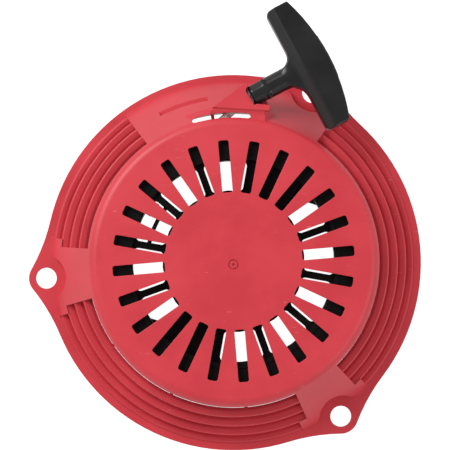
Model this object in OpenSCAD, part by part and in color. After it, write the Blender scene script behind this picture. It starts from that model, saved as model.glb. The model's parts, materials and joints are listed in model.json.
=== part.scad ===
// Recoil starter for a small vertical-shaft engine.
// Frame: origin on the reel's axis in the mounting plane, +Z out of the dome, rope leaving towards +X +Y.

/* [Housing] */
// Outer diameter of the mounting flange
flange_d = 200; // [198:0.5:202]
// Diameter of the circle through the three bolt holes
bolt_circle_d = 200; // [198:0.5:202]
// Diameter of each bolt hole
bolt_hole_d = 11.2; // [8:0.2:12]
// Thickness of the flange and its lugs
flange_t = 3.5; // [3:0.1:4]
// Height of the dome's centre above the mounting plane
dome_h = 44; // [44:0.1:46]
// Thickness of the moulded wall
wall = 2.5; // [2:0.1:2.6]

/* [Grille] */
// Number of radial slots in the dome
slot_count = 24; // [12:2:24]
// Width of each slot
slot_w = 5.4; // [4:0.1:5.6]
// Radius where the slots begin
slot_in = 35.5; // [34:0.5:38]
// Radius where the slots end
slot_out = 62.5; // [58:0.5:63]
// Direction of the first slot
slot_turn = 4.9; // [0:0.1:15]

/* [Rope] */
// Diameter of the braided rope
rope_d = 4; // [3.6:0.1:4]
// Height of the grip's axis above the mounting plane
grip_z = 38.6; // [38.4:0.1:39]
// Direction in which the rope is pulled
pull_turn = 28; // [27:0.5:29]

/* [Reel] */
// Outer diameter of the reel's flanges
reel_d = 136; // [132:1:137]
// Diameter at the bottom of the rope groove
groove_d = 108; // [107.6:0.2:108.4]
// Clear width of the rope groove
groove_w = 8.8; // [8.6:0.1:9]
// Width of each spoke
spoke_w = 3.6; // [3:0.1:4.4]

/* [Recoil spring] */
// Thickness of the spring strip
strip_t = 0.7; // [0.5:0.1:1]
// Turns of the spring
strip_turns = 9; // [6:1:10]

/* [Ratchets] */
// Swing of a ratchet from folded to engaged
ratchet_swing = 24; // [15:1:24]
// Turn of the guide that swings the ratchets fully out
guide_swing = 15; // [14:0.5:16]

/* [Grip] */
// Length of the grip's bar
bar_l = 69; // [66:0.5:72]
// Height of the grip's bar, across the pull
bar_h = 20; // [16:0.5:20]

/* [Hidden] */
$fn = 96;

// Lugs, grille and louvres share one angular pattern
lug_count = 3;
lug_turn = 64.9;
lug_tip_r = 9.2;
lug_blend_r = 100;
lug_pocket_r = 11.5;
lug_pocket_wall = 2.2;
lug_pocket_blend = 7;
flange_r = flange_d / 2;
bolt_r = bolt_circle_d / 2;

// The dome's skin: a low crown that turns over into a cone
crown = 1.2;
crown_r = 72;
cone_r = 75.5;
cone_z = 39;
foot_r = 97;
cone_slope = (cone_z - flange_t) / (foot_r - cone_r);
cone_drop = wall * sqrt(1 + cone_slope * cone_slope);
foot_in = cone_r + (cone_z - cone_drop) / cone_slope;
seam = 0.04;
shoulder_r = 5;
slot_corner = 1.1;

// Louvres: terraces that step down the cone, with a slit above each
louvre_count = 4;
louvre_span = 20.3;
louvre_taper = 1.12;
louvre_t = 2.2;
louvre_fall = 0.9;
louvre_shelf = 0.3;
louvre_lip = 0.8;
louvre_overlap = 1.5;
lug_bridge = 9.8;
foot_bridge = 12.5;
rope_bridge_end = 126.4;
rib_t = 1.8;
rib_pitch = 30;

// Rope exit
grip_at = [10.5, 85.8];
pull = [cos(pull_turn), sin(pull_turn)];
boss_top = 42.9;
boss_floor = 22;
ledge_top = 41.2;
ledge_low = 26;
ledge_x = [-34, -10, 15, 26];
ledge_rise = [77, 1.5];
ledge_edge = 0.8;
ledge_r = 79.8;
socket_r = 6.4;
socket_at = -2.2;
eyelet_at = -6.2;
eyelet_rim = 0.9;
bend_at = -5.2;
bend_reach = 2.6;
tunnel_r = 2.7;
lead_r = 59.5;
lead_flat = 40;
lead_z = 35.3;
coil_out = 61.6;
lead_first = sqrt(pow(coil_out + 0.2, 2) - pow(lead_r - rope_d / 2, 2));

// Air slot above the rope, and the pocket in the slope beside it
air_r = 75.55;
air_half = 1.35;
air_turn = [84.2, 105.6];
recess_r = [85.6, 88.4];
recess_turn = [98.9, 116.5];
gate_r = 2.7;

// Reel and post
post_z = [11.3, 14.9, 28.3];
post_r = [6.5, 8.5, 10.5];
run_gap = 0.05;
reel_top = 39.6;
reel_flange_t = 1.8;
groove_top = reel_top - reel_flange_t;
groove_low = groove_top - groove_w;
reel_low = groove_low - reel_flange_t;
rim_in = 53;
rim_step = 55.5;
hub_r = 36;
hub_in = 34;
spoke_top = 37;
web_low = 24;
web_top = 27.5;
boss_low = 19;
window_count = 12;
window_fillet = 2.4;
platform_low = 21.6;
seat_turn = [44, 81];
chord_r = 41.3;
chord_turn = 72.5;
knot_turn = 147.4;
knot_z = (groove_top + groove_low) / 2;
spring_z = [28.4, 39.2];

// Ratchets and their guide
pivot_at = [42 * cos(71), 42 * sin(71)];
tip_at = [46.5 * cos(42.5), 46.5 * sin(42.5)];
ratchet_dir = atan2(tip_at[1] - pivot_at[1], tip_at[0] - pivot_at[0]);
ratchet_l = norm(tip_at - pivot_at);
ratchet_z = [14.9, 20.4];
pivot_r = 3;
eye_r = 6.5;
coil_seat_r = 5;
coil_seat_low = 17.4;
coil_r = 3.95;
leg_turn = 200;
peg_at = [9.5, -1.5];
peg_r = 1.8;
guide_z = [11.4, 14.4];
guide_r = 33;
wing_r = 49.5;
wing_turn = [40.5, 70];
screw_r = 2.9;
insert_r = 4.4;
insert_l = 13.7;

// Grip, in its own frame: x out along the pull, y across it, z up
tip_start = -1;
tip_end = 7;
tip_half = 5.35;
neck_w = 11;
bar_in = 24.9;
bar_out = 43.5;
bar_slope = 5;
bar_edge_t = 12.6;
neck_fillet = [6, 8];
knot_x = 30;
knot_room_r = 6.5;
knot_plate_t = 1.2;
knot_r = 4.5;
cover_t = 1.8;

// ---------- functions ----------

function polar(r, a) = [r * cos(a), r * sin(a)];
function arc(c, r, a, b, n) = [for (i = [0:n]) c + polar(r, a + (b - a) * i / n)];
function unit(v) = v / norm(v);
function turned(p, a) = [p[0] * cos(a) - p[1] * sin(a), p[0] * sin(a) + p[1] * cos(a)];
function all_turned(pts, a) = [for (p = pts) turned(p, a)];
function reversed(pts) = [for (i = [len(pts) - 1:-1:0]) pts[i]];
function mirrored(pts) = [for (i = [len(pts) - 1:-1:0]) [pts[i][0], -pts[i][1]]];
function heading(v) = atan2(v[1], v[0]);
function wrap(a) = a > 180 ? a - 360 : a < -180 ? a + 360 : a;

// A corner at p between a and b, rounded with radius r in n steps
function corner(a, p, b, r, n) =
    let (u = unit(a - p), v = unit(b - p), half = acos(u * v) / 2, c = p + unit(u + v) * r / sin(half),
         from = heading(p + u * r / tan(half) - c), to = heading(p + v * r / tan(half) - c))
    arc(c, r, from, from + wrap(to - from), n);

// Points [x, y, r]: an outline whose corners are rounded where r is above 0
function outline(pts, n = 5) =
    let (m = len(pts), at = [for (p = pts) [p[0], p[1]]])
    [for (i = [0:m - 1])
        each pts[i][2] > 0 ? corner(at[(i + m - 1) % m], at[i], at[(i + 1) % m], pts[i][2], n) : [at[i]]];

// Height of the cone's outer surface, the crown's, and radius of each louvre's lip
function cone_at(r) = cone_z - cone_slope * (r - cone_r);
function crown_at(r) = dome_h - crown * pow(r / crown_r, 2);
function lip_r(i) = cone_r + louvre_span * (1 - pow(1 - i / louvre_count, louvre_taper));
function slit(i) = i == 1 ? 0.75 : i == 2 ? 0.5 : 0.2;

// A third of the flange's outline, around the lug on the X axis
function lug_third() =
    let (a = flange_r + lug_blend_r, b = lug_tip_r + lug_blend_r, d = bolt_r,
         side = acos((d * d + a * a - b * b) / (2 * d * a)),
         tip = acos((d * d + b * b - a * a) / (2 * d * b)),
         c = polar(a, side), half = 180 / lug_count,
         upper = concat(arc([d, 0], lug_tip_r, 0, 180 - tip, 5),
                        [for (p = arc(c, lug_blend_r, -tip, -180 + side, 5)) p],
                        arc([0, 0], flange_r, side + 3, half - 3, 12)))
    concat(mirrored(upper), [for (i = [1:len(upper) - 1]) upper[i]], [polar(flange_r, half)]);

// The pocket around a lug's bolt, with the corners where it meets the cone's foot rounded outwards
function pocket_outline() =
    let (f = lug_pocket_blend, q = lug_pocket_r, a = foot_r - f, b = q + f, d = bolt_r,
         side = acos((d * d + a * a - b * b) / (2 * d * a)), c = polar(a, side),
         lug = [d, 0], inner = heading(c - lug),
         upper = concat(arc(c, f, side, inner - 180, 6), arc(lug, q, inner, 180, 10)))
    concat([[foot_r + 30, foot_r * sin(side)]], upper,
           [for (i = [len(upper) - 2:-1:0]) [upper[i][0], -upper[i][1]]],
           [[foot_r + 30, -foot_r * sin(side)]]);

// The rope's way out: tangent off the coil, level past the reel's flange, up to the bend, then along the pull
bend_xy = grip_at + bend_at * pull;
lead_dir = heading(bend_xy) - asin(lead_r / norm(bend_xy));
lead_run = sqrt(pow(norm(bend_xy), 2) - lead_r * lead_r);
lead_start = bend_xy - polar(lead_run, lead_dir);
function lead_at(t, z) = concat(lead_start + polar(t, lead_dir), z);
bend_point = concat(bend_xy, grip_z);
climb_start = lead_at(lead_flat, lead_z);
climb_dir = unit(bend_point - climb_start);
pull3 = [pull[0], pull[1], 0];
function bezier(a, b, c, s) = (1 - s) * (1 - s) * a + 2 * s * (1 - s) * b + s * s * c;
lead_path = concat(
    [for (i = [0:4]) lead_at(lead_first + (lead_flat - 4 - lead_first) * i / 4, lead_z)],
    [for (s = [0:0.25:1]) bezier(lead_at(lead_flat - 3, lead_z), climb_start, climb_start + 3 * climb_dir, s)],
    [for (s = [0:0.125:1])
        bezier(bend_point - bend_reach * climb_dir, bend_point, bend_point + bend_reach * pull3, s)],
    [concat(grip_at + (tip_start - 0.05) * pull, grip_z)]);

// A frame carried along a path without twist, for sweeping a round wire
function across(t) = unit(cross(t, abs(t[2]) < 0.9 ? [0, 0, 1] : [1, 0, 0]));
function carried(n, t) = unit(n - (n * t) * t);
function tangents(p) =
    [for (i = [0:len(p) - 1]) unit(p[min(i + 1, len(p) - 1)] - p[max(i - 1, 0)])];
function frames(t) =
    [for (i = 0, n = across(t[0]); i < len(t); i = i + 1, n = i < len(t) ? carried(n, t[i]) : n) n];

function helix(r, z0, z1, a0, a1, n) =
    [for (i = [0:n]) concat(polar(r, a0 + (a1 - a0) * i / n), z0 + (z1 - z0) * i / n)];

// ---------- shared shapes ----------

module wire(path, r, sides = 8) {
    t = tangents(path);
    n = frames(t);
    last = len(path) - 1;
    points = [for (i = [0:last]) let (b = cross(t[i], n[i])) for (k = [0:sides - 1])
        path[i] + r * (cos(360 * k / sides) * n[i] + sin(360 * k / sides) * b)];
    walls = [for (i = [0:last - 1]) for (k = [0:sides - 1]) let (j = (k + 1) % sides)
        [i * sides + k, (i + 1) * sides + k, (i + 1) * sides + j, i * sides + j]];
    caps = [[for (k = [0:sides - 1]) k], [for (k = [sides - 1:-1:0]) last * sides + k]];
    polyhedron(points, concat(walls, caps));
}

module ring(r_in, r_out, z0, z1) {
    translate([0, 0, z0]) difference() {
        cylinder(r = r_out, h = z1 - z0);
        translate([0, 0, -1]) cylinder(r = r_in, h = z1 - z0 + 2);
    }
}

module sector(r_in, r_out, a0, a1, z0, z1) {
    translate([0, 0, z0]) rotate([0, 0, a0]) rotate_extrude(angle = a1 - a0)
        translate([r_in, 0]) square([r_out - r_in, z1 - z0]);
}

module slab(points, z0, z1) {
    translate([0, 0, z0]) linear_extrude(z1 - z0) polygon(points);
}

// A cylinder from point a to point b
module rod(a, b, r) {
    d = b - a;
    translate(a) rotate([0, acos(d[2] / norm(d)), heading(d)]) cylinder(r = r, h = norm(d));
}

module at_lugs() {
    for (k = [0:lug_count - 1]) rotate([0, 0, lug_turn + k * 360 / lug_count]) children();
}

module in_grip_frame() {
    translate([grip_at[0], grip_at[1], grip_z]) rotate([0, 0, pull_turn]) children();
}

module along_pull(x0, x1, r) {
    translate([x0, 0, 0]) rotate([0, 90, 0]) cylinder(r = r, h = x1 - x0);
}

// ---------- housing ----------

module crown() {
    peak = (cone_z + cone_slope * cone_r - crown_at(crown_r)) / cone_slope;
    inner_peak = peak - (cone_drop - wall) / cone_slope;
    rings = [0, 18, 36, 54];
    rotate_extrude() polygon(outline(concat(
        [for (r = rings) [r, crown_at(r), 0]],
        [[peak, crown_at(crown_r), shoulder_r], [cone_r, cone_z, 0], [cone_r, cone_z - cone_drop, 0],
         [inner_peak, crown_at(crown_r) - wall, 2]],
        [for (r = reversed(rings)) [r, crown_at(r) - wall, 0]]), 6));
}

// A plain stretch of the cone's wall, let in just under the crown's edge
module bridge(a0, a1) {
    top = cone_r - 1.2;
    rotate([0, 0, a0]) rotate_extrude(angle = a1 - a0)
        polygon([[top, cone_at(top) - seam], [foot_r, cone_at(foot_r) - seam], [foot_r, 0], [foot_in, 0],
                 [top, cone_at(top) - cone_drop + seam]]);
}

// Everything on the inner side of the cone's wall
module inside() {
    r0 = foot_in - 0.3;
    translate([0, 0, -1]) cylinder(r1 = r0 + 1 / cone_slope, r2 = r0 - 40 / cone_slope, h = 41);
}

module flange() {
    third = lug_third();
    points = [for (k = [0:lug_count - 1]) each all_turned(third, lug_turn + k * 360 / lug_count)];
    difference() {
        slab(points, 0, flange_t);
        translate([0, 0, -1]) cylinder(r = lip_r(louvre_count) - 0.8, h = flange_t + 2);
    }
}

// The wedge-shaped outlet that shelters the grip's tip, on a ledge that tapers off beside the dome
module rope_boss() {
    slab(outline([[-10.8, 79.4, 0], [5, 91.6, 1.2], [8, 92, 0.8], [6.3, 87.6, 0.8], [11.6, 81.2, 0.8],
                  [19.2, 80.6, 0.8], [18.4, 77.6, 0.8]], 4), boss_floor, boss_top);
    slab([[-9, 79.4], [5, 91], [12, 91], [19.2, 80.6]], boss_floor, grip_z - 6.5);
    intersection() {
        rotate([0, 0, 50]) rotate_extrude(angle = 70)
            polygon(outline([[crown_r + 1.5, 20, 0], [ledge_r, 20, 0],
                             [ledge_r, ledge_top + ledge_rise[1], ledge_edge],
                             [ledge_rise[0], ledge_top, 1.5], [crown_r + 1.5, ledge_top, 0]], 5));
        translate([0, 100, 0]) rotate([90, 0, 0]) linear_extrude(60)
            polygon([[ledge_x[0], ledge_low], [ledge_x[1], ledge_top + 2], [ledge_x[2], ledge_top + 2],
                     [ledge_x[3], ledge_low], [ledge_x[3], 19], [ledge_x[0], 19]]);
    }
}

module rope_way() {
    rod(lead_at(14, lead_z), climb_start, tunnel_r);
    rod(climb_start, bend_point, tunnel_r);
    translate(climb_start) sphere(r = tunnel_r);
    in_grip_frame() {
        along_pull(eyelet_at - 0.5, socket_at + 1, 3.55);
        along_pull(socket_at, 30, socket_r);
    }
}

module louvre(i, a0, a1) {
    r0 = lip_r(i - 1) + slit(i);
    r1 = lip_r(i);
    z = cone_at(r1);
    low = max(z - louvre_t, 0.6);
    margin = i == louvre_count ? foot_bridge - lug_bridge : 0;
    from = a0 + (a0 == rope_bridge_end ? 0 : margin) - louvre_overlap;
    to = a1 - margin + louvre_overlap;
    rotate([0, 0, from]) rotate_extrude(angle = to - from)
        polygon(outline([[r0, max(low - louvre_fall, 0), 0], [r1, low, 0], [r1, z, louvre_lip],
                         [r0 + 1.5, z - louvre_shelf, 1.2], [r0, z - louvre_fall, 0.3]], 4));
}

// The solid stretch of the lowest band on both sides of a lug
module foot_bridge_wall(a0, a1) {
    top = lip_r(louvre_count - 1) - 0.4;
    rotate([0, 0, a0]) rotate_extrude(angle = a1 - a0)
        polygon([[top, cone_at(top) - 2 * seam], [foot_r - 0.2, cone_at(foot_r - 0.2) - 2 * seam],
                 [foot_r - 0.2, 0.5], [foot_in - 0.6, 0.5], [top, cone_at(top) - cone_drop]]);
}

// A rib behind the louvres, stepped so that it stays under each one's shelf
module stiffener(a) {
    steps = [for (i = [1:louvre_count]) let (z = cone_at(lip_r(i)) - louvre_t + 0.6)
        each [[lip_r(i - 1) - 0.7, z], [lip_r(i) - 0.7, z]]];
    top = lip_r(0) - 0.7;
    rotate([0, 0, a]) translate([0, rib_t / 2, 0]) rotate([90, 0, 0]) linear_extrude(rib_t)
        polygon(concat([[top - 0.8, cone_at(top) - 2], [top, cone_at(top) - 2]], steps,
                       [[foot_in - 1, 0.4], [92.5, 0.4], [top - 0.8, cone_at(top) - 13.5]]));
}

module grille() {
    corners = outline([[slot_in, -slot_w / 2, slot_corner], [slot_out, -slot_w / 2, slot_corner],
                       [slot_out, slot_w / 2, slot_corner], [slot_in, slot_w / 2, slot_corner]], 3);
    for (k = [0:slot_count - 1])
        rotate([0, 0, slot_turn + k * 360 / slot_count]) slab(corners, dome_h - 8, dome_h + 2);
}

module post() {
    difference() {
        union() {
            translate([0, 0, post_z[2]]) cylinder(r = post_r[2], h = dome_h - 1.5 - post_z[2]);
            translate([0, 0, post_z[1]]) cylinder(r = post_r[1], h = 20);
            translate([0, 0, post_z[0]]) cylinder(r = post_r[0], h = 20);
        }
        translate([0, 0, post_z[0] - 1]) cylinder(r = insert_r, h = insert_l + 2);
        translate([0, 0, post_z[0]]) cylinder(r = screw_r + 0.3, h = 18);
        rotate([0, 0, spring_start]) translate([6.6, -strip_t, post_z[2] - 1]) cube([6, 2 * strip_t, 14.2]);
    }
}

// Louvred stretches, each [from, to], and the plain bridges between them
louvre_arcs = [[rope_bridge_end, lug_turn + 120 - lug_bridge],
               [lug_turn + 120 + lug_bridge, lug_turn + 240 - lug_bridge],
               [lug_turn + 240 + lug_bridge, lug_turn + 360 - lug_bridge]];

module housing() {
    color("crimson") {
        difference() {
            union() {
                crown();
                for (k = [0:2]) bridge(louvre_arcs[k][1], louvre_arcs[(k + 1) % 3][0] + (k == 2 ? 360 : 0));
                at_lugs() foot_bridge_wall(-foot_bridge, foot_bridge);
                flange();
                intersection() {
                    difference() {
                        rope_boss();
                        inside();
                    }
                    cylinder(r = foot_r - 2, h = dome_h + 5);
                }
                // walls that close the bolt pockets off from the inside
                at_lugs() intersection() {
                    rotate([0, 0, -13]) rotate_extrude(angle = 26)
                        polygon([[80, 0], [80, cone_at(80) - 1], [foot_r - 0.5, cone_at(foot_r - 0.5) - 1],
                                 [foot_r - 0.5, 0]]);
                    translate([bolt_r, 0, 0]) cylinder(r = lug_pocket_r + lug_pocket_wall, h = dome_h);
                }
            }
            at_lugs() {
                slab(pocket_outline(), flange_t, dome_h);
                translate([bolt_r, 0, -1]) cylinder(d = bolt_hole_d, h = 10);
            }
            grille();
            rope_way();
            // air slot and shallow pocket
            sector(air_r - air_half, air_r + air_half, air_turn[0], air_turn[1], 20, dome_h + 2);
            for (a = air_turn) translate(concat(polar(air_r, a), 20)) cylinder(r = air_half - 0.06, h = 30);
            sector(recess_r[0], recess_r[1], recess_turn[0], recess_turn[1], cone_at(recess_r[1]) + 0.6, 30);
            // moulding gate mark
            translate([0, -1.9, dome_h - 0.6]) {
                ring(gate_r - 0.7, gate_r, 0, 2);
                translate([0, 0, -0.2]) cylinder(r = 0.7, h = 2);
            }
        }
        for (a = louvre_arcs) for (i = [1:louvre_count]) louvre(i, a[0], a[1]);
        for (k = [0:11]) if (k % 4 != 0 && k != 1) stiffener(lug_turn + k * rib_pitch);
        sector(73, 79, 97.6, 98.8, 28.4, 33);
        post();
    }
}

module rope_eyelet() {
    color("dimgray") in_grip_frame() rotate([0, 90, 0]) rotate_extrude()
        polygon(outline([[2.4, eyelet_at, 0.35], [3.5, eyelet_at, 0], [3.5, socket_at, 0],
                         [5.4, socket_at, 0], [5.4, socket_at + eyelet_rim, 0.4],
                         [2.4, socket_at + eyelet_rim, 0.4]], 4));
}

module post_insert() {
    color("goldenrod") ring(screw_r + 0.1, insert_r, post_z[0] + 1, post_z[0] + insert_l + 1);
}

module centre_screw() {
    head_top = post_z[0] - 1.5;
    color("silver") {
        translate([0, 0, head_top - 1.3]) cylinder(r = 8, h = 1.3);
        translate([0, 0, head_top - 5]) cylinder(d = 10 / cos(30), h = 4, $fn = 6);
        translate([0, 0, head_top - 0.5]) cylinder(r = screw_r, h = 16);
    }
}

module guide_washer() {
    color("silver") ring(3.3, 11.5, post_z[0] - 1.5, post_z[0]);
}

module rope_lead() {
    color("ivory") wire(lead_path, rope_d / 2);
}

// ---------- reel ----------

module window(a) {
    half_in = 15 - asin(spoke_w / 2 / (hub_r + 0.8));
    half_out = 15 - asin(spoke_w / 2 / rim_in);
    f = window_fillet;
    outer = [for (k = [-2:2]) concat(polar(rim_in - 0.6, k * half_out / 2), abs(k) == 2 ? f : 0)];
    inner = [for (k = [1:-1:-1]) concat(polar(hub_r + 0.8, k * half_in), k == 0 ? 0 : f * 0.8)];
    rotate([0, 0, a]) slab(outline(concat(outer, inner), 4), reel_low - 1, reel_top);
}

module reel_body() {
    bore = post_r[1] + run_gap;
    rotate_extrude() polygon([
        [bore, boss_low], [13, boss_low], [13, web_low], [hub_r, web_low], [hub_r, reel_low],
        [reel_d / 2, reel_low], [reel_d / 2, groove_low], [groove_d / 2, groove_low],
        [groove_d / 2, groove_top], [reel_d / 2, groove_top], [reel_d / 2, reel_top - 0.6],
        [rim_step, reel_top - 0.6], [rim_step, reel_top], [rim_in, reel_top], [rim_in, spoke_top],
        [hub_r, spoke_top], [hub_r, reel_top], [hub_in, reel_top], [hub_in, web_top], [bore, web_top]]);
}

// The solid stretch a ratchet is seated on, cut off along a chord beside the neighbouring window
module ratchet_seat() {
    intersection() {
        sector(hub_r - 1, groove_d / 2 - 0.5, seat_turn[0] - 14, seat_turn[1], platform_low, reel_low + 1);
        union() {
            sector(1, groove_d / 2, seat_turn[0], seat_turn[1] + 1, platform_low - 1, reel_low + 2);
            rotate([0, 0, chord_turn]) translate([chord_r, -40, platform_low - 1]) cube([12, 40, 10]);
        }
    }
}

module reel() {
    color("dimgray") difference() {
        union() {
            difference() {
                reel_body();
                for (k = [0:window_count - 1]) if (k % 6 != 2) window(slot_turn + k * 30);
            }
            for (side = [0, 180]) rotate([0, 0, side]) {
                ratchet_seat();
                translate([pivot_at[0], pivot_at[1], ratchet_z[0] - 0.3])
                    cylinder(r = pivot_r, h = platform_low - ratchet_z[0] + 1);
            }
            // knot shelf between two spokes
            sector(43.8, 45.7, 138, 171, 29, spoke_top - 0.4);
            // ribs under the hub's web
            for (k = [0:11]) rotate([0, 0, 19.9 + k * 30])
                translate([12, -0.8, boss_low + 1]) cube([23, 1.6, 5]);
        }
        // the rope's hole through the groove's bottom
        rotate([0, 0, knot_turn]) translate([rim_in - 1.5, 0, knot_z]) rotate([0, 90, 0])
            cylinder(r = rope_d / 2 + 0.15, h = 5);
        // notch for the spring's outer tab
        rotate([0, 0, spring_end]) translate([hub_in - 1, -0.7, web_top + 0.4]) cube([5, 1.4, 14]);
        // holes for the return springs' fixed legs
        for (side = [0, 180]) rotate([0, 0, side])
            translate(concat(pivot_at + polar(coil_r, leg_turn), platform_low - 1)) cylinder(r = 0.6, h = 3.5);
    }
}

// The spring runs from the post's slot out to the notch in the reel's cup
spring_start = 90;
spring_in = 11.6;
spring_out = hub_in - 0.9;
spring_end = spring_start + strip_turns * 360;
function strip_side(offset) =
    let (n = strip_turns * 24)
    [for (i = [0:n]) polar(spring_in + (spring_out - spring_in) * i / n + offset, spring_start + 15 * i)];

module recoil_spring() {
    h = strip_t / 2;
    depth = spring_z[1] - spring_z[0];
    color("slategray") {
        slab(concat(strip_side(h), reversed(strip_side(-h))), spring_z[0], spring_z[1]);
        rotate([0, 0, spring_start]) translate([7.2, -h, spring_z[0]]) cube([spring_in - 7.2, strip_t, depth]);
        rotate([0, 0, spring_end]) translate([spring_out, -h, spring_z[0]]) cube([2.5, strip_t, depth]);
    }
}

module rope_coil() {
    color("ivory") ring(groove_d / 2 + 0.1, coil_out, groove_low + 0.1, groove_top - 0.1);
}

module reel_knot() {
    color("ivory") rotate([0, 0, knot_turn]) {
        translate([49.4, 0, knot_z]) sphere(r = 3.3);
        translate([49.4, 0, knot_z]) rotate([0, 90, 0]) cylinder(r = rope_d / 2, h = groove_d / 2 - 49.4);
    }
}

module friction_spring() {
    r = post_r[1] + 1.4;
    color("silver") wire(helix(r, guide_z[1] + 0.65, boss_low - 0.6, 0, 900, 60), 0.5);
}

// ---------- ratchets and guide ----------

// The peg's place in the guide's frame when the guide has turned by a
function peg_in_guide(a) =
    turned(pivot_at + turned(peg_at, ratchet_dir + ratchet_swing * a / guide_swing), -a);

module ratchet_guide() {
    steps = 24;
    color("gainsboro") difference() {
        union() {
            ring(post_r[0] + run_gap, guide_r, guide_z[0], guide_z[1]);
            ring(guide_r - 1.8, guide_r, guide_z[0] - 1.6, guide_z[0] + 1);
            for (side = [0, 180])
                sector(guide_r - 2, wing_r, wing_turn[0] + side, wing_turn[1] + side, guide_z[0], guide_z[1]);
        }
        for (side = [0, 180]) rotate([0, 0, side]) {
            for (k = [0:steps]) translate(concat(peg_in_guide(guide_swing * k / steps), guide_z[0] - 1))
                cylinder(r = peg_r + 0.3, h = 6);
            for (a = [110, 150]) rotate([0, 0, a]) translate([22, 0, guide_z[0] - 1]) cylinder(r = 5, h = 6);
        }
    }
}

module ratchet() {
    rotate([0, 0, ratchet_dir]) difference() {
        union() {
            translate([0, 0, ratchet_z[0]]) cylinder(r = eye_r, h = ratchet_z[1] - ratchet_z[0]);
            slab(outline([[0, 6.4, 0], [13, 4.6, 0], [ratchet_l - 1.6, 3.4, 0.8], [ratchet_l, 1, 0.6],
                          [ratchet_l - 1.4, -3.8, 0.8], [13, -4.9, 4], [0, -6.4, 0]], 3),
                 ratchet_z[0], ratchet_z[1]);
            translate([peg_at[0], peg_at[1], guide_z[0] + 0.2])
                cylinder(r = peg_r, h = ratchet_z[0] - guide_z[0] + 1);
        }
        translate([0, 0, ratchet_z[0] - 1]) cylinder(r = pivot_r + run_gap, h = 8);
        translate([0, 0, coil_seat_low]) cylinder(r = coil_seat_r, h = 6);
        // hole for the return spring's moving leg
        translate([-coil_r, 0, coil_seat_low - 1.6]) cylinder(r = 0.6, h = 3);
    }
}

module ratchet_1() {
    color("silver") translate([pivot_at[0], pivot_at[1], 0]) ratchet();
}

module ratchet_2() {
    rotate([0, 0, 180]) ratchet_1();
}

// Return spring: turns round the pivot, a leg down into the ratchet and a leg up into the reel
module return_spring() {
    low = coil_seat_low + 0.6;
    high = ratchet_z[1] + 0.5;
    from = ratchet_dir + 180;
    to = leg_turn + 1080;
    wire(concat([concat(polar(coil_r, from), low - 1.8)], helix(coil_r, low, high, from, to, 40),
                [concat(polar(coil_r, to), high + 2.4)]), 0.35, 6);
}

module return_spring_1() {
    color("silver") translate([pivot_at[0], pivot_at[1], 0]) return_spring();
}

module return_spring_2() {
    rotate([0, 0, 180]) return_spring_1();
}

// ---------- grip ----------

// The bar's plan: flat towards the hand's fingers, bowed outwards
function bar_plan() =
    let (h = bar_l / 2, edge = bar_in + bar_edge_t, rise = bar_out - edge,
         bow = (h * h + rise * rise) / (2 * rise), reach = asin(h / bow))
    outline(concat([[bar_in, -h, 2.5]],
        [for (p = arc([bar_out - bow, 0], bow, -reach, reach, 12)) [p[0], p[1], 0]],
        [[bar_in, h, 2.5]]), 4);

module neck() {
    w = neck_w / 2;
    f = neck_fillet;
    slab_points = concat(
        [[tip_end - 0.3, -w]], arc([bar_in - f[1], -w - f[1]], f[1], 90, 0, 6),
        [[bar_in + 3, -w - f[1]], [bar_in + 3, w + f[0]]],
        arc([bar_in - f[0], w + f[0]], f[0], 0, -90, 6), [[tip_end - 0.3, w]]);
    slab(slab_points, -w, w);
    translate([tip_start, 0, 0]) rotate([0, 90, 0]) rotate([0, 0, 22.5])
        cylinder(r = tip_half / cos(22.5), h = tip_end - tip_start + 2, $fn = 8);
}

module grip_body() {
    flat = bar_h / 2;
    inner = flat - bar_slope;
    side = outline([[bar_in, -inner, 2], [bar_in + bar_slope, -flat, 0.4], [bar_out + 1, -flat + 0.8, 2],
                    [bar_out + 1, flat - 0.8, 2], [bar_in + bar_slope, flat, 0.4], [bar_in, inner, 2]], 5);
    color("#222222") in_grip_frame() difference() {
        union() {
            intersection() {
                slab(bar_plan(), -bar_h / 2, bar_h / 2);
                translate([0, bar_l, 0]) rotate([90, 0, 0]) linear_extrude(2 * bar_l) polygon(side);
            }
            neck();
        }
        along_pull(tip_start - 1, bar_out, rope_d / 2 + 0.3);
        along_pull(knot_x, bar_out + 1, knot_room_r);
        cover_seat(0.1, 2);
    }
}

// The cover's room in the bowed face, grown by gap and reaching out by proud
module cover_seat(gap, proud) {
    translate([bar_out - cover_t, -12 - gap, -7 - gap])
        cube([cover_t + proud, 24 + 2 * gap, 14 + 2 * gap]);
}

module grip_cover() {
    color("#1c1c1c") in_grip_frame() intersection() {
        translate([0.35, 0, 0]) slab(bar_plan(), -bar_h, bar_h);
        cover_seat(0, 3);
    }
}

module knot_plate() {
    color("silver") in_grip_frame() difference() {
        along_pull(knot_x, knot_x + knot_plate_t, knot_room_r - 0.15);
        along_pull(knot_x - 1, knot_x + 3, rope_d / 2 + 0.2);
    }
}

module grip_knot() {
    color("ivory") in_grip_frame() difference() {
        translate([knot_x + knot_plate_t + knot_r, 0, 0]) sphere(r = knot_r);
        along_pull(knot_x, knot_x + knot_plate_t + 0.7, rope_d / 2);
    }
}

module rope_in_grip() {
    color("ivory") in_grip_frame() along_pull(tip_start, knot_x + knot_plate_t + 0.7, rope_d / 2);
}

housing();
rope_eyelet();
post_insert();
centre_screw();
guide_washer();
rope_lead();
reel();
recoil_spring();
rope_coil();
reel_knot();
friction_spring();
ratchet_guide();
ratchet_1();
ratchet_2();
return_spring_1();
return_spring_2();
grip_body();
grip_cover();
knot_plate();
grip_knot();
rope_in_grip();
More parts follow.
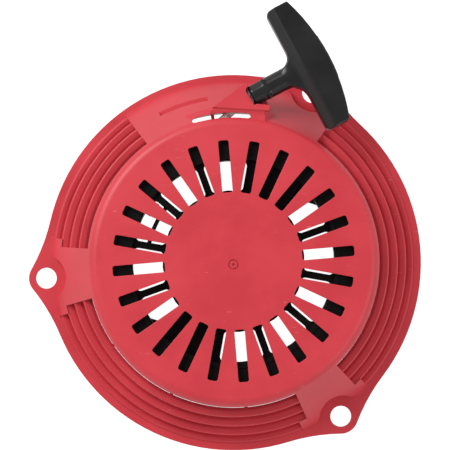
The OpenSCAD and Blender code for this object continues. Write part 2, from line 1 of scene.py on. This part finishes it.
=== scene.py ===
"""Looks of the recoil starter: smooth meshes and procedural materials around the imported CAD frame."""
import json
import math
import bmesh
import bpy
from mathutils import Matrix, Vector


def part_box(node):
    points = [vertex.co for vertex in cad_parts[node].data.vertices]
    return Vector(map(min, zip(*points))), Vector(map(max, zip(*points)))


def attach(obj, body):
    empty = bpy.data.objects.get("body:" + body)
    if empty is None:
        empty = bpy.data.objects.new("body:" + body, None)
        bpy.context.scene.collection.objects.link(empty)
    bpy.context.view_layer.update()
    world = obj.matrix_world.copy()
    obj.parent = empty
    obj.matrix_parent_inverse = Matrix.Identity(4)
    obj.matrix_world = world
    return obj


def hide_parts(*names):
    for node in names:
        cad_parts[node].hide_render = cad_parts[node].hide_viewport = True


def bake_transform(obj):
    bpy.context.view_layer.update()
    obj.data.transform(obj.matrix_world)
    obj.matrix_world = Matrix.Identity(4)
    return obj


MM = 0.001
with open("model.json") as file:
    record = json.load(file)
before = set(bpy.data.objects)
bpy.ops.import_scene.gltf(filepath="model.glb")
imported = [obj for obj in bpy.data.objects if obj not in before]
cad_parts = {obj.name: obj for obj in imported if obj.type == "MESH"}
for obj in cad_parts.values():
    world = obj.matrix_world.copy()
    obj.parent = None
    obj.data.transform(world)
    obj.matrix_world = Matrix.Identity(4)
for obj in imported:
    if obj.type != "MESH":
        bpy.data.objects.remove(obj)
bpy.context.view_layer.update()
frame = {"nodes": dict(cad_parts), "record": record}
nodes = frame["nodes"]

# ---------------------------------------------------------------- camera, floor and light

AIM = Vector((-4.4, 19.9, 0)) * MM
CAMERA_DISTANCE = 1.2
CAMERA_TILT = math.radians(1.8)
VIEW_WIDTH = 240.6 * MM
SKY_SIDE, SKY_TOP = 0.8, 0.34
FLOOR_SIZE = 60
FLOOR_DROP = 0.4 * MM
FLOOR_GLOW = 0.98


def make_camera():
    """Looks straight down but for a slight tilt, as far back as a product photographer stands."""
    data = bpy.data.cameras.new("camera")
    data.lens = data.sensor_width * CAMERA_DISTANCE / VIEW_WIDTH
    data.clip_end = 10
    camera = bpy.data.objects.new("camera", data)
    back = Vector((0, -math.sin(CAMERA_TILT), math.cos(CAMERA_TILT)))
    camera.location = AIM + back * CAMERA_DISTANCE
    camera.rotation_euler = (CAMERA_TILT, 0, 0)
    bpy.context.scene.collection.objects.link(camera)
    bpy.context.scene.camera = camera


def make_light(name, at, size, power):
    """A rectangular light that faces the origin."""
    data = bpy.data.lights.new(name, "AREA")
    data.shape = "RECTANGLE"
    data.size, data.size_y = size
    data.energy = power
    light = bpy.data.objects.new(name, data)
    light.location = at
    light.rotation_mode = "QUATERNION"
    light.rotation_quaternion = (-Vector(at)).to_track_quat("-Z", "Y")
    bpy.context.scene.collection.objects.link(light)


def make_studio():
    """A pale floor under a sky that is brighter at its sides than overhead, and two soft lights."""
    scene = bpy.context.scene
    scene.view_settings.view_transform = "Standard"
    world = bpy.data.worlds.new("studio")
    scene.world = world
    world.use_nodes = True
    tree = world.node_tree
    upward = tree.nodes.new("ShaderNodeSeparateXYZ")
    tree.links.new(tree.nodes.new("ShaderNodeTexCoord").outputs["Generated"], upward.inputs[0])
    dome = tree.nodes.new("ShaderNodeMapRange")
    dome.inputs["To Min"].default_value, dome.inputs["To Max"].default_value = SKY_SIDE, SKY_TOP
    tree.links.new(upward.outputs["Z"], dome.inputs["Value"])
    tree.links.new(dome.outputs["Result"], tree.nodes["Background"].inputs["Strength"])
    tree.nodes["Background"].inputs["Color"].default_value = (1, 1, 1, 1)
    make_light("window", (-0.75, 0.65, 1.0), (0.7, 0.7), 12)
    make_light("fill", (0.9, -0.3, 0.9), (0.9, 0.7), 3)
    bpy.ops.mesh.primitive_plane_add(size=FLOOR_SIZE, location=(0, 0, -FLOOR_DROP))
    floor = bpy.context.object
    floor.name = "floor"
    paper = bpy.data.materials.new("white_paper")
    paper.use_nodes = True
    shader = paper.node_tree.nodes["Principled BSDF"]
    shader.inputs["Base Color"].default_value = (0.3, 0.3, 0.3, 1)
    shader.inputs["Roughness"].default_value = 0.9
    shader.inputs["Specular IOR Level"].default_value = 0.0
    shader.inputs["Emission Color"].default_value = (1, 1, 1, 1)
    shader.inputs["Emission Strength"].default_value = FLOOR_GLOW
    floor.data.materials.append(paper)
    floor.visible_diffuse = False
    floor.visible_glossy = False


# ---------------------------------------------------------------- materials


class Recipe:
    """A material's node tree, with short calls for the nodes it needs."""

    def __init__(self, name, base, roughness, metallic=0.0):
        self.material = bpy.data.materials.new(name)
        self.material.use_nodes = True
        self.tree = self.material.node_tree
        self.shader = self.tree.nodes["Principled BSDF"]
        self.shader.inputs["Base Color"].default_value = (*base, 1)
        self.shader.inputs["Roughness"].default_value = roughness
        self.shader.inputs["Metallic"].default_value = metallic
        self.place = self.tree.nodes.new("ShaderNodeTexCoord").outputs["Object"]

    def node(self, kind, inputs=None, **settings):
        made = self.tree.nodes.new(kind)
        for key, value in settings.items():
            setattr(made, key, value)
        for key, value in (inputs or {}).items():
            if isinstance(value, bpy.types.NodeSocket):
                self.tree.links.new(value, made.inputs[key])
            else:
                made.inputs[key].default_value = value
        return made

    def noise(self, scale, detail=3.0, roughness=0.5, place=None):
        made = self.node("ShaderNodeTexNoise", {"Vector": place or self.place, "Scale": scale,
                                                "Detail": detail, "Roughness": roughness})
        return made.outputs["Fac"]

    def stretched(self, scale):
        """Object coordinates scaled unevenly, for streaks and grain."""
        return self.node("ShaderNodeMapping", {"Vector": self.place, "Scale": scale}).outputs["Vector"]

    def ramp(self, value, stops):
        made = self.node("ShaderNodeValToRGB", {"Fac": value})
        ramp = made.color_ramp
        while len(ramp.elements) < len(stops):
            ramp.elements.new(0.5)
        for element, (at, colour) in zip(ramp.elements, stops):
            element.position = at
            element.color = (*colour, 1)
        return made.outputs["Color"]

    def span(self, value, low, high, start=0.0, end=1.0):
        made = self.node("ShaderNodeMapRange", {"Value": value, "From Min": start, "From Max": end,
                                                "To Min": low, "To Max": high})
        return made.outputs["Result"]

    def mix(self, share, one, other):
        made = self.node("ShaderNodeMix", data_type="RGBA")
        for socket, value in ((made.inputs[0], share), (made.inputs[6], one), (made.inputs[7], other)):
            if isinstance(value, bpy.types.NodeSocket):
                self.tree.links.new(value, socket)
            elif isinstance(value, tuple):
                socket.default_value = (*value, 1)
            else:
                socket.default_value = value
        return made.outputs[2]

    def maths(self, operation, one, other=0.0):
        return self.node("ShaderNodeMath", {0: one, 1: other}, operation=operation).outputs[0]

    def bump(self, height, distance, strength=1.0, normal=None):
        inputs = {"Height": height, "Distance": distance, "Strength": strength}
        if normal is not None:
            inputs["Normal"] = normal
        return self.node("ShaderNodeBump", inputs).outputs["Normal"]

    def rounded(self, radius):
        """Normals that round every edge off by radius."""
        return self.node("ShaderNodeBevel", {"Radius": radius}, samples=6).outputs["Normal"]

    def set(self, **sockets):
        for name, value in sockets.items():
            self.tree.links.new(value, self.shader.inputs[name.replace("_", " ")])
        return self.material


def scratches(r, turn, scale):
    """Short hairlines, all in about one direction, where a slow noise allows them."""
    turned = r.node("ShaderNodeMapping", {"Vector": r.place, "Rotation": (0, 0, turn),
                                          "Scale": (0.12, 1, 1)})
    fine = r.noise(scale * 12, 2, 0.5, turned.outputs["Vector"])
    allowed = r.ramp(r.noise(scale, 4, 0.65), [(0.62, (0, 0, 0)), (0.72, (1, 1, 1))])
    return r.maths("MULTIPLY", r.ramp(fine, [(0.66, (0, 0, 0)), (0.7, (1, 1, 1))]), allowed)


def moulded_red():
    """Satin nylon: slight flow mottling, fine texture, faint pale scuffs and short scratches."""
    r = Recipe("moulded_red", (0.6, 0.028, 0.042), 0.42)
    mottle = r.noise(28, 5, 0.6)
    fine = r.noise(900, 2)
    scuff_lines = r.noise(60, 6, 0.7, r.stretched((1.0, 5.0, 1.0)))
    scuffs = r.ramp(scuff_lines, [(0.66, (0, 0, 0)), (0.74, (1, 1, 1))])
    tone = r.mix(r.span(mottle, 0, 1, 0.35, 0.65), (0.62, 0.034, 0.05), (0.7, 0.044, 0.062))
    tone = r.mix(r.span(scuffs, 0, 0.17), tone, (0.8, 0.3, 0.32))
    marks = r.maths("MAXIMUM", scratches(r, 0.6, 95), scratches(r, 2.2, 130))
    tone = r.mix(r.span(marks, 0, 0.6), tone, (0.85, 0.42, 0.44))
    rough = r.maths("ADD", r.span(mottle, 0.36, 0.46, 0.3, 0.7), r.span(scuffs, 0, 0.1))
    normal = r.bump(fine, 0.00004, 0.35, r.rounded(0.5 * MM))
    return r.set(Base_Color=tone, Roughness=rough, Normal=normal)


def moulded_black(name, base=0.018, roughness=0.4, edge=0.4, gloss=0.5):
    """Satin black moulding with a fine texture and uneven polish."""
    r = Recipe(name, (base, base, base * 1.05), roughness)
    mottle = r.noise(45, 4, 0.6)
    fine = r.noise(1400, 2)
    tone = r.mix(r.span(mottle, 0, 1, 0.35, 0.65), (base * 0.8,) * 3,
                 (base * 1.35, base * 1.33, base * 1.4))
    rough = r.span(mottle, roughness - 0.06, roughness + 0.08, 0.3, 0.7)
    r.shader.inputs["Specular IOR Level"].default_value = gloss
    return r.set(Base_Color=tone, Roughness=rough,
                 Normal=r.bump(fine, 0.000012, 0.2, r.rounded(edge * MM)))


STAIN = (0.2, 0.16, 0.12)
STAINED = 0.15
METAL_EDGE = 0.15 * MM


def worn_metal(name, base, roughness, grain=(1.0, 1.0, 1.0)):
    """Plated or bare steel: grain, uneven gloss and stains in patches."""
    r = Recipe(name, base, roughness, 1.0)
    streaks = r.noise(700, 3, 0.6, r.stretched(grain))
    patch = r.noise(90, 4, 0.6)
    tone = r.mix(r.span(patch, 0, STAINED, 0.45, 0.75), base, STAIN)
    tone = r.mix(r.span(streaks, 0.0, 0.35), tone, tuple(0.75 * c for c in base))
    rough = r.maths("ADD", r.span(streaks, roughness - 0.06, roughness + 0.08), r.span(patch, 0, 0.1))
    return r.set(Base_Color=tone, Roughness=rough,
                 Normal=r.bump(streaks, 0.00002, 0.4, r.rounded(METAL_EDGE)))


def natural_nylon():
    """Off-white nylon with smears of grease."""
    r = Recipe("natural_nylon", (0.6, 0.57, 0.5), 0.45)
    mottle = r.noise(60, 4, 0.6)
    grease = r.ramp(r.noise(35, 3), [(0.55, (0, 0, 0)), (0.75, (1, 1, 1))])
    tone = r.mix(r.span(mottle, 0, 1, 0.3, 0.7), (0.55, 0.52, 0.45), (0.66, 0.63, 0.57))
    tone = r.mix(r.span(grease, 0, 0.35), tone, (0.3, 0.26, 0.2))
    return r.set(Base_Color=tone, Roughness=r.span(mottle, 0.4, 0.52),
                 Normal=r.bump(r.noise(1200, 2), 0.00003, 0.4, r.rounded(0.3 * MM)))


def braided_rope():
    """Braided starter rope. Its UVs run once round the rope and count rope diameters along it."""
    r = Recipe("braided_rope", (0.75, 0.74, 0.7), 0.75)
    uv = r.node("ShaderNodeUVMap").outputs["UV"]
    split = r.node("ShaderNodeSeparateXYZ", {"Vector": uv})
    around = r.maths("MULTIPLY", split.outputs["X"], 8.0)
    along = r.maths("MULTIPLY", split.outputs["Y"], 1.6)
    one = r.maths("PINGPONG", r.maths("ADD", around, along), 0.5)
    other = r.maths("PINGPONG", r.maths("SUBTRACT", around, along), 0.5)
    weave_height_and_crevice_shade = r.maths("MULTIPLY", r.maths("MULTIPLY", one, other), 4.0)
    fleck_at = r.node("ShaderNodeCombineXYZ", {
        "X": r.maths("FLOOR", r.maths("ADD", around, along)),
        "Y": r.maths("FLOOR", r.maths("SUBTRACT", around, along))})
    fleck = r.node("ShaderNodeTexWhiteNoise", {"Vector": fleck_at.outputs[0]}, noise_dimensions="3D")
    dark = r.ramp(fleck.outputs["Value"], [(0.88, (0, 0, 0)), (0.9, (1, 1, 1))])
    # The strand crowns are painted lighter and the crevices between strands darker: painted shade,
    # following the same height as the bump.
    tone = r.mix(r.span(weave_height_and_crevice_shade, 0, 1), (0.5, 0.49, 0.46), (0.9, 0.89, 0.86))
    tone = r.mix(dark, tone, (0.3, 0.29, 0.28))
    fuzz = r.noise(2500, 2)
    normal = r.bump(fuzz, 0.00005, 0.3, r.bump(weave_height_and_crevice_shade, 0.0004, 0.8))
    r.shader.inputs["Sheen Weight"].default_value = 0.3
    return r.set(Base_Color=tone, Normal=normal)


# ---------------------------------------------------------------- shapes


def centre_of(node):
    low, high = (Vector(corner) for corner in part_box(node))
    return (low + high) / 2


def new_piece(name, mesh, body, material, replaced=()):
    piece = bpy.data.objects.new(name, mesh)
    bpy.context.scene.collection.objects.link(piece)
    mesh.materials.clear()
    mesh.materials.append(material)
    mesh.polygons.foreach_set("use_smooth", [True] * len(mesh.polygons))
    if body:
        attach(piece, body)
    if replaced:
        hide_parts(*replaced)
    return piece


def softened(node, voxel, passes):
    """A copy of a CAD node's mesh whose corners are all softly rounded."""
    source = bpy.data.objects.new("source", nodes[node].data.copy())
    bpy.context.scene.collection.objects.link(source)
    remesh = source.modifiers.new("remesh", "REMESH")
    remesh.mode = "VOXEL"
    remesh.voxel_size = voxel
    smooth = source.modifiers.new("smooth", "SMOOTH")
    smooth.iterations = passes
    smooth.factor = 0.5
    depsgraph = bpy.context.evaluated_depsgraph_get()
    mesh = bpy.data.meshes.new_from_object(source.evaluated_get(depsgraph))
    bpy.data.objects.remove(source)
    mesh.name = node
    return mesh


def frames_along(points):
    """A tangent and a normal at each point, carried along without twist."""
    count = len(points)
    tangents = [(points[min(i + 1, count - 1)] - points[max(i - 1, 0)]).normalized()
                for i in range(count)]
    normal = tangents[0].orthogonal().normalized()
    normals = []
    for tangent in tangents:
        normal = (normal - tangent * normal.dot(tangent)).normalized()
        normals.append(normal)
    return tangents, normals


def tube(name, points, radius, sides=16, lengths=None):
    """A round closed tube through points. Its UVs run once round it and count diameters along it."""
    tangents, normals = frames_along(points)
    if lengths is None:
        lengths = [0.0]
        for one, other in zip(points, points[1:]):
            lengths.append(lengths[-1] + (other - one).length)
    mesh = bmesh.new()
    uv = mesh.loops.layers.uv.new("UVMap")
    rings = []
    for point, tangent, normal in zip(points, tangents, normals):
        side = tangent.cross(normal)
        turn = [2 * math.pi * k / sides for k in range(sides)]
        rings.append([mesh.verts.new(point + radius * (math.cos(a) * normal + math.sin(a) * side))
                      for a in turn])
    for i in range(len(rings) - 1):
        for k in range(sides):
            j = (k + 1) % sides
            face = mesh.faces.new((rings[i][k], rings[i][j], rings[i + 1][j], rings[i + 1][k]))
            corners = ((k, i), (k + 1, i), (k + 1, i + 1), (k, i + 1))
            for loop, (around, along) in zip(face.loops, corners):
                loop[uv].uv = (around / sides, lengths[along] / (2 * radius))
    mesh.faces.new(reversed(rings[0]))
    mesh.faces.new(rings[-1])
    made = bpy.data.meshes.new(name)
    mesh.to_mesh(made)
    mesh.free()
    return made


def smoothstep(t):
    """0 to 1 with a soft start and end."""
    return t * t * (3 - 2 * t)


# ---------------------------------------------------------------- the grip

pull_joint = next(j for j in frame["record"]["behaviour"]["joints"] if j["name"] == "grip_pull")
PULL = Vector(pull_joint["axis"]).normalized()
TRAVEL = pull_joint["range_m"][1]
ACROSS = Vector((-PULL.y, PULL.x, 0))
KNOT_X = 30.6 * MM
GRIP_AT = centre_of("knot_plate") - KNOT_X * PULL


def in_grip(x, y=0.0, z=0.0):
    """A point in the grip's own frame: x along the pull, y across it."""
    return GRIP_AT + x * PULL + y * ACROSS + z * Vector((0, 0, 1))


CREASE_X = 29.9 * MM
NECK_R = 5.75 * MM
NECK_FROM, NECK_TO = 7.5 * MM, 22 * MM
LIP_HEIGHT = 0.3 * MM
LIP_WIDTH = 0.45 * MM


def shape_grip(mesh):
    """Sharpens the crease along the bar's two flat faces and rounds the neck."""
    for vertex in mesh.vertices:
        off = vertex.co - GRIP_AT
        x, y, z = off.dot(PULL), off.dot(ACROSS), off.z
        if NECK_FROM < x < NECK_TO and abs(y) < 7 * MM:
            reach = math.hypot(y, z)
            share = min((x - NECK_FROM) / MM, 1.0) * min((NECK_TO - x) / (4 * MM), 1.0)
            if reach > NECK_R:
                scale = 1 - share * (1 - (NECK_R + 0.1 * (reach - NECK_R)) / reach)
                y, z = y * scale, z * scale
        if x > NECK_TO and abs(z) > 4 * MM:
            lip = LIP_HEIGHT * math.exp(-((x - CREASE_X) / LIP_WIDTH) ** 2)
            z += math.copysign(lip, z)
        vertex.co = in_grip(x, y, z)


def make_grip(plastic):
    mesh = softened("grip_body", 0.5 * MM, 6)
    shape_grip(mesh)
    new_piece("grip_moulding", mesh, "grip", plastic, ["grip_body"])
    cap = softened("grip_cover", 0.3 * MM, 4)
    new_piece("grip_cap", cap, "grip", plastic, ["grip_cover"])


# ---------------------------------------------------------------- the rope

ROPE_R = 2.0 * MM
COIL_R = (56.1 * MM, 59.5 * MM)
COIL_RISE = 2.05 * MM
COIL_TURNS = 4
KNOT_TURN = math.radians(147.4)
KNOT_R = 49.4 * MM
BEND_X = -5.2 * MM
BEND_REACH = 2.6 * MM
LEAD_FLAT = 40 * MM
LEAD_Z = 35.3 * MM
GRIP_KNOT_SIZE, GRIP_KNOT_ROPE = 2.7 * MM, 1.55 * MM
REEL_KNOT_SIZE, REEL_KNOT_ROPE = 2.0 * MM, 1.3 * MM


def polar(radius, angle, z):
    return Vector((radius * math.cos(angle), radius * math.sin(angle), z))


def bezier(one, corner, other, steps):
    for i in range(steps + 1):
        t = i / steps
        yield (1 - t) ** 2 * one + 2 * t * (1 - t) * corner + t * t * other


def lead_route():
    """The rope's straight run off the coil, and the direction in which it leaves it."""
    bend = in_grip(BEND_X)
    flat = Vector((bend.x, bend.y, 0))
    direction = math.atan2(bend.y, bend.x) - math.asin(COIL_R[1] / flat.length)
    start = polar(COIL_R[1], direction + math.pi / 2, LEAD_Z)
    step = polar(1, direction, 0)
    climb = start + LEAD_FLAT * step
    rise = (bend - climb).normalized()
    route = [start + step * (i * 2 * MM) for i in range(18)]
    route += list(bezier(start + step * (LEAD_FLAT - 3 * MM), climb, climb + 3 * MM * rise, 6))
    route += list(bezier(bend - BEND_REACH * rise, bend, bend + BEND_REACH * PULL, 8))
    route.append(in_grip(-1.05 * MM))
    return route, direction + math.pi / 2


def coil_route(leave):
    """Four turns in two layers, from the reel's hole to the point where the rope leaves the coil."""
    middle = centre_of("rope_coil").z
    total = KNOT_TURN - leave + COIL_TURNS * 2 * math.pi
    route = [polar(r * MM, KNOT_TURN, middle) for r in (50.5, 52, 53.4)]
    steps = COIL_TURNS * 72
    for i in range(1, steps + 1):
        turns = COIL_TURNS * i / steps
        side = 1 - 2 * smoothstep(min(max((turns - 0.9) / 0.2, 0), 1)) + 2 * smoothstep(
            min(max((turns - 2.9) / 0.2, 0), 1))
        layer = smoothstep(min(max((turns - 1.85) / 0.3, 0), 1))
        radius = COIL_R[0] + (COIL_R[1] - COIL_R[0]) * layer
        begin = smoothstep(min(turns / 0.06, 1))
        radius = (54 * MM) * (1 - begin) + radius * begin
        route.append(polar(radius, KNOT_TURN - total * i / steps, middle + side * begin * COIL_RISE))
    return route


def knot_route(centre, axis, size):
    """An overhand knot drawn tight, its loops round axis."""
    side = axis.orthogonal().normalized()
    other = axis.cross(side)
    route = []
    steps = 96
    for i in range(steps):
        t = 2 * math.pi * (0.02 + 0.96 * i / (steps - 1))
        reach = size * (1.0 + 0.46 * math.cos(3 * t))
        route.append(centre + reach * (math.cos(2 * t) * side + math.sin(2 * t) * other)
                     + 0.52 * size * math.sin(3 * t) * axis)
    return route


def make_rope(material):
    def add(name, points, radius, body, node):
        new_piece(name, tube(name, points, radius), body, material, [node])

    lead, leave = lead_route()
    add("rope_to_outlet", lead, ROPE_R, "housing", "rope_lead")
    add("rope_wound", coil_route(leave), ROPE_R, "reel", "rope_coil")
    inside = [in_grip(x * MM) for x in (-1, 2, 6, 10, 15, 20, 25, 29, 31.9)]
    add("rope_through_grip", inside, ROPE_R, "grip", "rope_in_grip")
    grip_knot = knot_route(centre_of("grip_knot"), PULL, GRIP_KNOT_SIZE)
    add("knot_in_grip", grip_knot, GRIP_KNOT_ROPE, "grip", "grip_knot")
    at_reel = polar(KNOT_R, KNOT_TURN, centre_of("rope_coil").z)
    reel_knot = knot_route(at_reel, polar(1, KNOT_TURN, 0), REEL_KNOT_SIZE)
    add("knot_in_reel", reel_knot, REEL_KNOT_ROPE, "reel", "reel_knot")
    make_paid_out_rope(material)


PAID_FROM, PAID_TO = -3.2 * MM, 12 * MM
PAID_STEPS = 240
PAID_GAP = 0.06 * MM


def make_paid_out_rope(material):
    """The rope that shows once the grip is pulled: at rest it hides inside the other two stretches."""
    span = PAID_TO - PAID_FROM
    places = [i / PAID_STEPS for i in range(PAID_STEPS + 1)]
    points = [in_grip(PAID_FROM + span * t) for t in places]
    drawn = [span * t + TRAVEL * smoothstep(t) for t in places]
    mesh = tube("rope_paid_out", points, ROPE_R - PAID_GAP, 12, drawn)
    piece = new_piece("rope_paid_out", mesh, None, material)
    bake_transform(piece)


# ---------------------------------------------------------------- the wire springs


DRAG_COIL_R, DRAG_WIRE = 9.9 * MM, 0.5 * MM
DRAG_TURN = math.radians(900)
RETURN_COIL_R, RETURN_WIRE = 3.95 * MM, 0.35 * MM
RETURN_FROM, RETURN_TO = math.radians(158.1), math.radians(1280)
LEG_DOWN, LEG_UP = 1.8 * MM, 2.4 * MM


def helix(centre, radius, low, high, start, end, steps):
    axis = Vector((centre.x, centre.y, 0))
    for i in range(steps + 1):
        t = i / steps
        yield axis + polar(radius, start + (end - start) * t, low + (high - low) * t)


def make_springs(steel):
    """The guide's drag spring, and a return spring that bends between the reel and each ratchet."""
    low, high = (corner[2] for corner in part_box("friction_spring"))
    coils = list(helix(Vector(), DRAG_COIL_R, low + DRAG_WIRE, high - DRAG_WIRE, 0, DRAG_TURN, 180))
    drag = tube("guide_drag_spring", coils, DRAG_WIRE, 12)
    new_piece("guide_drag_spring", drag, "guide", steel, ["friction_spring"])
    for side in (1, 2):
        node = f"return_spring_{side}"
        half_turn = math.pi * (side - 1)
        low, high = (corner[2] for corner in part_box(node))
        low, high = low + LEG_DOWN, high - LEG_UP
        pivot = centre_of(node)
        coils = list(helix(pivot, RETURN_COIL_R, low, high, RETURN_FROM + half_turn,
                           RETURN_TO + half_turn, 150))
        route = [coils[0] - Vector((0, 0, LEG_DOWN)), *coils, coils[-1] + Vector((0, 0, LEG_UP))]
        mesh = tube(node, route, RETURN_WIRE, 10)
        piece = new_piece(f"ratchet_spring_{side}", mesh, None, steel, [node])
        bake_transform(piece)


# ---------------------------------------------------------------- painting the CAD nodes


def paint(material, *names):
    """Gives CAD nodes that stay in view their material."""
    for name in names:
        mesh = nodes[name].data
        mesh.materials.clear()
        mesh.materials.append(material)


def paint_all():
    paint(moulded_red(), "housing")
    paint(moulded_black("reel_black", 0.003, 0.5, gloss=0.12), "reel")
    paint(natural_nylon(), "ratchet_guide")
    zinc = worn_metal("zinc_plate", (0.62, 0.62, 0.58), 0.34)
    paint(zinc, "centre_screw", "guide_washer", "knot_plate")
    strip_steel = worn_metal("spring_steel", (0.3, 0.29, 0.29), 0.3, (1, 1, 8))
    paint(strip_steel, "recoil_spring")
    make_springs(strip_steel)
    paint(worn_metal("sintered_steel", (0.4, 0.39, 0.38), 0.46), "ratchet_1", "ratchet_2")
    # The rope eyelet is painted near-black. At the outlet's mouth this darkness also stands in for the
    # shade between the mouth and the grip's neck, so it is partly painted shade.
    paint(worn_metal("eyelet_steel_with_painted_shade", (0.1, 0.1, 0.1), 0.3), "rope_eyelet")
    paint(worn_metal("brass", (0.72, 0.52, 0.24), 0.35), "post_insert")


make_camera()
make_studio()
paint_all()
make_grip(moulded_black("grip_black", 0.008, 0.27, 0.3))
make_rope(braided_rope())
